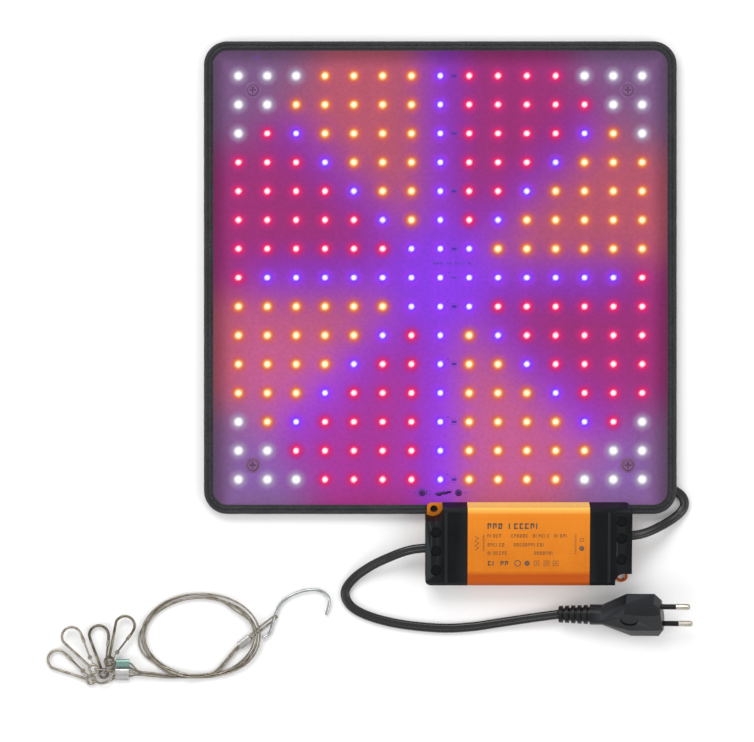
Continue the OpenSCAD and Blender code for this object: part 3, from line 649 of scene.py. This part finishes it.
# white, orange, red, blue: the painted light on the board around each kind, and from the diode's middle outwards
AMBIENT = srgb("#7c5886", "#b5546a", "#9b2c74", "#7c31da")
CORE = srgb("#ffffff", "#fff6cf", "#fff0f4", "#f2ecff")
RING = srgb("#cfc8dc", "#ff9a22", "#ff1262", "#7e34ff")
HALO = srgb("#a79cb4", "#d05c5c", "#c62676", "#9a36f2")
CORE_SIZE = np.array([1.06, 0.86, 0.78, 0.76])
SAME_SIZE = np.ones(4)
GLOW_REACH = 12.5
LEDS = [(c * PITCH, r * PITCH, led_kind(c, r)) for c in range(-MID, MID + 1) for r in range(-MID, MID + 1)]


def board_colour(x, y):
    """Painted light on the board at points: the diodes' mixed light, painted shade towards the edge, then each
    diode's own glow.
    """
    x, y = np.asarray(x, float), np.asarray(y, float)
    total, weight = np.zeros(x.shape + (3,)), np.zeros(x.shape)
    near, kind = np.full(x.shape, 1e9), np.zeros(x.shape, int)
    for lx, ly, k in LEDS:
        d2 = (x - lx) ** 2 + (y - ly) ** 2
        w = np.exp(-d2 / (2 * GLOW_REACH ** 2)) * (1.15 if k == BLUE else 1)
        total += w[..., None] * AMBIENT[k]
        weight += w
        closer = d2 < near
        near, kind = np.where(closer, d2, near), np.where(closer, k, kind)
    c = total / weight[..., None]
    # painted light: a violet glow over the middle of the board
    middle = np.exp(-((np.hypot(x, y) / 42) ** 2))[..., None]
    c = c * (1 - 0.55 * middle) + srgb("#9440f4")[0] * 0.55 * middle
    # painted shade towards the board's edge
    edge = 149 - np.maximum(np.abs(x), np.where(y > 0, y, -0.94 * y))
    c = c * (0.74 + 0.26 * eased(edge / 13))[..., None]
    # painted light: a violet tint towards the lower left
    violet = eased((-y - 0.25 * x) / 100) * eased(edge / 30)
    c = c + violet[..., None] * np.array([0.05, 0.03, 0.15])
    d = np.sqrt(near)
    for tone, inner, outer, most, size in ((HALO, 3.2, 7.8, 0.66, SAME_SIZE), (RING, 2.2, 4.0, 0.96, SAME_SIZE),
                                           (CORE, 1.7, 3.0, 1.0, CORE_SIZE)):
        w = (most * (1 - eased((d / size[kind] - inner) / (outer - inner))))[..., None]
        c = c * (1 - w) + tone[kind] * w
    return c


def glow_material(name, strength, rough, grain):
    """A lit surface: it gives out the colour its points carry, and is glossy over a fine mottle."""
    m = bpy.data.materials.new(name)
    m.use_nodes = True
    nt = m.node_tree
    bsdf = nt.nodes["Principled BSDF"]
    attr = add(nt, "ShaderNodeAttribute", attribute_name="glow")
    coord = add(nt, "ShaderNodeTexCoord").outputs["Object"]
    mottle = ranged(nt, noise(nt, coord, grain, 4), 0.3, 0.7, 0.93, 1.07)
    weave = ranged(nt, noise(nt, coord, 60, 3, stretch=(1, 0.25, 1)), 0.3, 0.7, 0.96, 1.04)
    grey = greyed(nt, product(nt, mottle, weave))
    colour = mixed(nt, 1.0, attr.outputs["Color"], grey, "MULTIPLY")
    nt.links.new(colour, bsdf.inputs["Emission Color"])
    bsdf.inputs["Emission Strength"].default_value = strength
    nt.links.new(mixed(nt, 1.0, colour, (0.06, 0.06, 0.06), "MULTIPLY"), bsdf.inputs["Base Color"])
    nt.links.new(ranged(nt, noise(nt, coord, grain * 0.5), 0.3, 0.7, rough, rough + 0.12),
                 bsdf.inputs["Roughness"])
    bsdf.inputs["Specular IOR Level"].default_value = 0.12
    b = add(nt, "ShaderNodeBump", Strength=0.15, Distance=0.00004)
    nt.links.new(noise(nt, coord, 1400), b.inputs["Height"])
    nt.links.new(b.outputs["Normal"], bsdf.inputs["Normal"])
    return m


# the board glows with this painted light; only the diodes are lamps
M["board"] = glow_material("lit_board", 0.94, 0.5, 420)
M["lens"] = glow_material("lit_diode", 1.0, 0.3, 900)


def rgba(c):
    c = to_linear(c)
    return np.concatenate([c, np.ones(c.shape[:-1] + (1,))], axis=-1).reshape(-1, 4)


# ---- the circuit layer: a fine grid that carries the glow, with a skirt down to the metal plate
def inside_plate(x, y, half, r):
    """Pulls a point of a square grid on to the rounded outline it would pass."""
    cx, cy = half - r, half - r
    dx, dy = np.maximum(np.abs(x) - cx, 0), np.maximum(np.abs(y) - cy, 0)
    d = np.hypot(dx, dy)
    k = np.where((dx > 0) & (dy > 0) & (d > r), r / np.maximum(d, 1e-9), 1.0)
    return np.sign(x) * (np.minimum(np.abs(x), cx) + dx * k), np.sign(y) * (np.minimum(np.abs(y), cy) + dy * k)


def circuit_board():
    n = 289
    half, r, low = 153.0, 13.5, 6.72
    g = np.linspace(-half, half, n)
    x, y = np.meshgrid(g, g, indexing="ij")
    x, y = inside_plate(x, y, half, r)
    idx = np.arange(n * n).reshape(n, n)
    verts = [np.stack([x.ravel(), y.ravel(), np.full(n * n, BOARD_TOP)], axis=1)]
    f = np.stack([idx[:-1, :-1], idx[1:, :-1], idx[1:, 1:], idx[:-1, 1:]], axis=-1).reshape(-1, 4)
    rim = np.concatenate([idx[:, 0], idx[-1, 1:], idx[-2::-1, -1], idx[0, -2:0:-1]])
    m, base = len(rim), n * n
    verts.append(np.stack([x.ravel()[rim], y.ravel()[rim], np.full(m, low)], axis=1))
    skirt = [(rim[j], base + j, base + (j + 1) % m, rim[(j + 1) % m]) for j in range(m)]
    skirt.append(tuple(base + j for j in reversed(range(m))))
    allv = np.concatenate(verts)
    colours = rgba(board_colour(allv[:, 0], allv[:, 1]))
    faces = [tuple(q) for q in f] + skirt
    ob = mesh_of("circuit_layer", allv, faces, "lamp", [M["board"]], colours)
    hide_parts("led_board")


circuit_board()


# ---- diodes: a square package with rounded edges, a shallow cup and a domed lens in it
def diode(cx, cy):
    n = 24
    a = np.arange(n) * 2 * math.pi / n

    def square(h, cut):
        return np.minimum(h / np.maximum(np.abs(np.cos(a)), np.abs(np.sin(a))), h * 1.414 - cut)

    rings = [(square(1.72, 0.12), 0.01), (square(1.75, 0.12), 0.1), (square(1.75, 0.14), 0.6),
             (square(1.66, 0.16), 0.7), (np.full(n, 1.5), 0.7), (np.full(n, 1.42), 0.78)]
    for t in (25, 45, 65, 82):
        rings.append((np.full(n, 1.42 * math.cos(math.radians(t))), 0.78 + 0.5 * math.sin(math.radians(t))))
    verts = [np.stack([cx + r * np.cos(a), cy + r * np.sin(a), np.full(n, BOARD_TOP + z)], axis=1)
             for r, z in rings]
    faces = [(p * n + j, p * n + (j + 1) % n, (p + 1) * n + (j + 1) % n, (p + 1) * n + j)
             for p in range(len(rings) - 1) for j in range(n)]
    faces.append(tuple((len(rings) - 1) * n + j for j in range(n)))
    faces.append(tuple(reversed(range(n))))
    return np.concatenate(verts), faces


for kind, word in enumerate(("white", "orange", "red", "blue")):
    v, f = joined([diode(x, y) for x, y, k in LEDS if k == kind])
    ob = mesh_of(f"diodes_{word}", v, f, "lamp", [M["lens"]],
                 rgba(board_colour(v[:, 0], v[:, 1])))
    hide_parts(f"leds_{word}")


# ---- printed marks and pads on the board: small dark strokes, no lettering
def strokes(items, z, place=None):
    """Thin rounded bars: (x, y, width, height, degrees)."""
    parts = []
    for x, y, w, h, deg in items:
        a = math.radians(deg)
        c = min(w, h) * 0.3
        p = [(-w / 2 + c, -h / 2), (w / 2 - c, -h / 2), (w / 2, -h / 2 + c), (w / 2, h / 2 - c),
             (w / 2 - c, h / 2), (-w / 2 + c, h / 2), (-w / 2, h / 2 - c), (-w / 2, -h / 2 + c)]
        q = [(x + u * math.cos(a) - v * math.sin(a), y + u * math.sin(a) + v * math.cos(a)) for u, v in p]
        v3 = [(*s, z + t) for t in (0.0, 0.045) for s in q]
        f3 = [tuple(reversed(range(8))), tuple(range(8, 16))] + [(j, (j + 1) % 8, 8 + (j + 1) % 8, 8 + j)
                                                              for j in range(8)]
        parts.append((np.array([place(*s) for s in v3]) if place else np.array(v3), f3))
    return joined(parts)


def ring_mark(x, y, r, w, z, place=None, n=20):
    a = np.radians(np.linspace(0, 360, n + 1))
    line = np.stack([x + r * np.cos(a), y + r * np.sin(a), np.full(n + 1, z + 0.02)], axis=1)
    v, f = sweep(line, [(w / 2, -0.02), (w / 2, 0.025), (-w / 2, 0.025), (-w / 2, -0.02)], upright=True)
    return (np.array([place(*p) for p in v]) if place else v), f


INK_Z, INPUT_Y = BOARD_TOP + 0.005, -141
marks = []
for r in range(-MID, MID + 1, 2):
    y = r * PITCH
    marks += [(6.6, y + 1.7, 1.5, 0.35, 0), (6.6, y - 1.7, 1.5, 0.35, 0), (12.4, y + 1.2, 1.1, 0.3, 0),
              (9, y + 1.9, 2.6, 0.25, 0), (9, y - 1.9, 2.6, 0.25, 0), (4.9, y + 3.1, 1.5, 0.8, 0)]
marks += [(8.8, 0, 4.2, 1.2, 0), (5.6, 3.2, 1.4, 0.8, 0), (-120.6, 144.4, 1.7, 1.7, 0)]
for a, b in ((-4.7, 1.9), (4.3, 7.5), (9.7, 13.2), (14.4, 15.4), (18.2, 20.6)):
    marks += [(x, 9.7, 0.5, 1.7, 0) for x in np.arange(a + 0.25, b, 1.15)]
    marks.append(((a + b) / 2, 9.0, b - a - 0.3, 0.35, 0))
marks += [(-16.6, INPUT_Y, 1.6, 0.45, 0), (-16.6, INPUT_Y, 0.45, 1.6, 0), (17.2, INPUT_Y, 1.8, 0.45, 0)]
v, f = joined([strokes(marks, INK_Z), ring_mark(-7.6, INPUT_Y, 1.5, 0.5, INK_Z),
               ring_mark(-12, INPUT_Y, 3.1, 0.3, INK_Z)])
# dark print, its violet painted light from the lit board
M["ink"] = material("board_ink", "#5226a6", "#441d90", (0.45, 0.6), patch=400, grain=2400, bump=0.05)
mesh_of("board_marks", v, f, "lamp", [M["ink"]], flat=True)


def solder_blob():
    rng = np.random.default_rng(5)
    parts = []
    for x, y, w, h in ((-0.9, -141.9, 4.6, 2.4), (2.6, -141.2, 4.6, 2.0), (5.8, -140.5, 3.2, 1.6)):
        n, m = 20, 7
        v = []
        for p in range(m):
            t = p / (m - 1) * math.pi / 2
            for j in range(n):
                b = 2 * math.pi * j / n
                wob = 1 + 0.08 * math.sin(3 * b + x) + 0.03 * rng.random()
                v.append((x + w / 2 * math.cos(t) * math.cos(b) * wob,
                          y + h / 2 * math.cos(t) * math.sin(b) * wob, BOARD_TOP + 0.9 * math.sin(t)))
        f = [(p * n + j, p * n + (j + 1) % n, (p + 1) * n + (j + 1) % n, (p + 1) * n + j)
             for p in range(m - 1) for j in range(n)]
        f.append(tuple(reversed(range(n))))
        parts.append((np.array(v), f))
    v, f = joined(parts)
    mesh_of("input_solder", v, f, "lamp", [M["blob"]])


solder_blob()


# ---- edge trim: a soft rubber channel, two ridges round its face and a thin lip on the board
def edge_trim():
    half, r = PANEL / 2, 15.5
    pts, out = [], []
    for cx, cy, start in ((1, 1, 0), (-1, 1, 90), (-1, -1, 180), (1, -1, 270)):
        for k in range(19):
            a = math.radians(start + k * 5)
            out.append((math.cos(a), math.sin(a)))
            pts.append((cx * (half - r) + r * math.cos(a), cy * (half - r) + r * math.sin(a)))
        nx, ny = math.cos(math.radians(start + 90)), math.sin(math.radians(start + 90))
        ex, ey = -ny, nx
        for k in range(1, 100):
            t = k / 100 * 2 * (half - r)
            pts.append((cx * (half - r) + r * nx + ex * t, cy * (half - r) + r * ny + ey * t))
            out.append((nx, ny))
    p, o = np.array(pts), np.array(out)
    n = len(p)
    prof = np.array([
        (1.2, 4.4), (0.45, 4.6), (0.1, 5.1), (0.0, 5.8), (0.0, 6.8), (0.12, 7.5), (0.5, 7.98), (0.95, 8.24),
        (1.6, 8.3), (2.2, 8.2), (2.6, 7.96), (2.85, 7.8), (3.1, 7.95), (3.5, 8.16), (4.1, 8.22), (4.7, 8.12),
        (5.1, 7.92), (5.4, 7.84), (5.8, 7.82), (6.1, 7.74), (6.2, 7.62), (6.15, 7.53), (5.4, 7.52), (2.2, 7.52),
        (2.2, 5.17), (5.8, 5.17), (6.2, 4.95), (6.0, 4.5), (5.5, 4.4),
    ])
    run = np.arange(n)
    wave = 0.07 * np.sin(run * 0.37) + 0.06 * np.sin(run * 0.83 + 1.1) + 0.05 * np.sin(run * 1.71 + 0.4)
    k = len(prof)
    verts = np.zeros((n, k, 3))
    for j, (d, z) in enumerate(prof):
        inward = d + (np.abs(wave) * 0.6 if d < 1.3 else 0) + (wave * 0.5 if 2.5 < d < 6.2 and z > 7.6 else 0)
        verts[:, j, 0] = p[:, 0] - o[:, 0] * inward
        verts[:, j, 1] = p[:, 1] - o[:, 1] * inward
        verts[:, j, 2] = z - (np.abs(wave) * 0.5 if z > 7.9 else 0)
    faces = [(i * k + j, ((i + 1) % n) * k + j, ((i + 1) % n) * k + (j + 1) % k, i * k + (j + 1) % k)
             for i in range(n) for j in range(k)]
    ob = mesh_of("edge_channel", verts.reshape(-1, 3), faces, "lamp", [M["trim"]])
    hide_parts("edge_trim")


edge_trim()

# ---- driver label: bars, dots and rings in place of print, just above the label film
rng = np.random.default_rng(11)
FACE = DRIVER_H + 0.205
BIG, SMALL = [], []


def bars(rows, a, b, y, height, width, gap, thick):
    """A run of small marks, each a stem with one or two arms, so that the row has the grain of print."""
    x = a
    while x + width <= b:
        kind = int(rng.integers(0, 4))
        rows.append((x + thick / 2, y, thick, height, 0))
        if kind != 1:
            rows.append((x + width / 2, y + (height - thick) / 2, width, thick, 0))
        if kind > 1:
            rows.append((x + width / 2, y - (height - thick) / 2, width, thick, 0))
        if kind in (0, 3):
            rows.append((x + width - thick / 2, y + height * 0.1, thick, height * 0.7, 0))
        x += width + gap


for a, b in ((40.4, 51), (54.2, 75.6)):
    bars(BIG, a, b, 40.3, 3.9, 2.6, 0.95, 1.0)
for y, groups in ((33.8, ((40.4, 50), (56, 68), (70, 82), (84, 94.6))), (27.8, ((40.6, 53), (57.6, 79.4))),
                  (22.3, ((40.6, 54.4), (71, 85)))):
    for a, b in groups:
        bars(SMALL, a, b, y, 2.2, 1.35, 0.55, 0.5)
for a, b in ((40.8, 47), (49, 56)):
    bars(BIG, a, b, 15.5, 3.1, 2.1, 0.8, 0.85)
for x in (72.5, 79, 85):
    SMALL += [(x - 1.6, 15.5, 0.45, 3.4, 0), (x + 1.6, 15.5, 0.45, 3.4, 0), (x, 17.1, 3.4, 0.45, 0),
              (x, 13.9, 3.4, 0.45, 0), (x, 15.5, 1.2, 1.4, 0)]
for y in np.arange(22, 35.4, 1.25):
    SMALL.append((97.9, y, 1.3, 0.6, 0))
for y in np.arange(24, 33.6, 1.6):
    SMALL += [(38, y, 1.5, 0.45, 0), (38, y + 0.7, 0.45, 0.9, 0)]
for y in (25, 28.2, 31.4):
    SMALL += [(33.6, y, 3.2, 0.45, 32), (33.6, y + 1.4, 3.2, 0.45, -32)]
SMALL += [(101.9, 30.2, 2.4, 0.4, 0), (101.9, 32.2, 2.4, 0.4, 0),
          (100.9, 31.2, 0.4, 2.4, 0), (102.9, 31.2, 0.4, 2.4, 0)]
big_parts = [strokes(BIG, FACE, at_driver), ring_mark(60.2, 15.5, 1.9, 0.6, FACE, at_driver),
             ring_mark(66.4, 15.5, 1.0, 1.5, FACE, at_driver),
             ring_mark(101.9, 25.4, 0.95, 1.5, FACE, at_driver)]
v, f = joined(big_parts)
mesh_of("label_heading", v, f, "lamp", [M["print"]], flat=True)
v, f = strokes(SMALL, FACE, at_driver)
mesh_of("label_rows", v, f, "lamp", [M["print_small"]], flat=True)

# ---- finishes for the CAD's own parts, with their sharp edges rounded a little
finish = {
    "plate": ["base_plate"], "nickel": ["corner_nuts", "ring_straps", "board_screws"]
    + [f"hanging_ring_{i}" for i in range(1, 5)],
    "chip": ["series_resistors"], "solder": ["input_pads"], "wire": ["board_wires"],
    "box": ["cable_entry_box", "cord_clamps"], "orange": ["driver_base", "driver_cover"],
    "cap": ["end_cap_left", "end_cap_right"], "label": ["driver_label"], "pcb": ["driver_board"],
    "ferrite": ["transformer_core", "bridge_rectifier"], "tape": ["transformer_winding"],
    "can": ["mains_capacitor", "output_capacitors"], "copper": ["filter_choke"], "sink": ["heat_sink"],
    "terminal": ["terminal_blocks"], "plug": ["plug_body", "plug_strain_relief"], "pin": ["plug_pins"],
    "sleeve": ["pin_sleeves"], "ferrule": ["hook_ferrules", "top_ferrule"],
    "gate": [f"hook_gate_{i}" for i in range(1, 5)] + [f"gate_pin_{i}" for i in range(1, 5)],
}
# the screws' and washers' purple is painted reflection of the lit board; below the board they stay grey
M["board_metal"] = material("lit_fastener", "#74517c", "#634268", (0.4, 0.55), 0.0, patch=300, grain=1500,
                            bump=0.15, edge_wear_and_highlight="#8f6690", specular=0.2)
nt = M["board_metal"].node_tree
bsdf = nt.nodes["Principled BSDF"]
under_board = ranged(nt, position(nt)[2], 0.005, 0.0045, 0, 1)
painted_reflection_colour = bsdf.inputs["Base Color"].links[0].from_socket
nt.links.new(mixed(nt, under_board, painted_reflection_colour, linear("#a6a6a9")), bsdf.inputs["Base Color"])
finish["board_metal"] = ["corner_screws", "corner_washers"]
rounding = {"plug_body": 1.1, "plug_strain_relief": 0.35, "end_cap_left": 0.45, "end_cap_right": 0.45,
            "driver_cover": 0.35, "driver_base": 0.3, "hook_ferrules": 0.5, "top_ferrule": 0.5,
            "cable_entry_box": 0.5, "plug_pins": 0.2, "driver_label": 0.05, "series_resistors": 0.1}
WELD_WITHIN, SHARP_ANGLE = 0.004 * MM, math.radians(32)
for key, names in finish.items():
    for name in names:
        ob = NODES[name]
        if not ob.material_slots:
            ob.data.materials.append(M[key])
        for s in ob.material_slots:
            s.material = M[key]
        weld = ob.modifiers.new("weld", "WELD")
        weld.merge_threshold = WELD_WITHIN
        bevel = ob.modifiers.new("soft_edges", "BEVEL")
        bevel.width = rounding.get(name, 0.15) * MM
        bevel.segments = 3 if rounding.get(name, 0) > 0.3 else 2
        bevel.limit_method = "ANGLE"
        bevel.angle_limit = SHARP_ANGLE
        even = ob.modifiers.new("even_normals", "WEIGHTED_NORMAL")
        even.keep_sharp = True

# ---- floor and soft light
bpy.ops.mesh.primitive_plane_add(size=8, location=(0, 0, -0.0004))
floor = bpy.context.object
floor.name = "floor"
fm = bpy.data.materials.new("pale_floor")
fm.use_nodes = True
nt = fm.node_tree
bsdf = nt.nodes["Principled BSDF"]
coord = add(nt, "ShaderNodeTexCoord").outputs["Object"]
nt.links.new(mixed(nt, ranged(nt, noise(nt, coord, 6), 0.3, 0.7, 0, 1), (0.9, 0.9, 0.9), (0.92, 0.92, 0.92)),
             bsdf.inputs["Base Color"])
bsdf.inputs["Roughness"].default_value = 0.95
bsdf.inputs["Specular IOR Level"].default_value = 0.0
floor.data.materials.append(fm)


def lamp(name, place, size, power, aim=(-0.04, -0.06, 0)):
    d = bpy.data.lights.new(name, "AREA")
    d.shape = "RECTANGLE"
    d.size, d.size_y = size
    d.energy = power
    ob = bpy.data.objects.new(name, d)
    ob.location = place
    ob.rotation_euler = (Vector(aim) - Vector(place)).to_track_quat("-Z", "Y").to_euler()
    bpy.context.scene.collection.objects.link(ob)


lamp("key", (-0.5, 1.1, 1.7), (1.4, 0.9), 19)
lamp("fill", (1.3, -0.4, 1.6), (1.2, 1.2), 9)
lamp("rim", (-1.4, -0.8, 1.3), (0.9, 0.9), 7)
world = bpy.data.worlds.new("studio")
bpy.context.scene.world = world
world.use_nodes = True
back = world.node_tree.nodes["Background"]
back.inputs["Color"].default_value = (1, 1, 1, 1)
back.inputs["Strength"].default_value = 0.72
view = bpy.context.scene.view_settings
view.view_transform = "Standard"
view.look = "None"
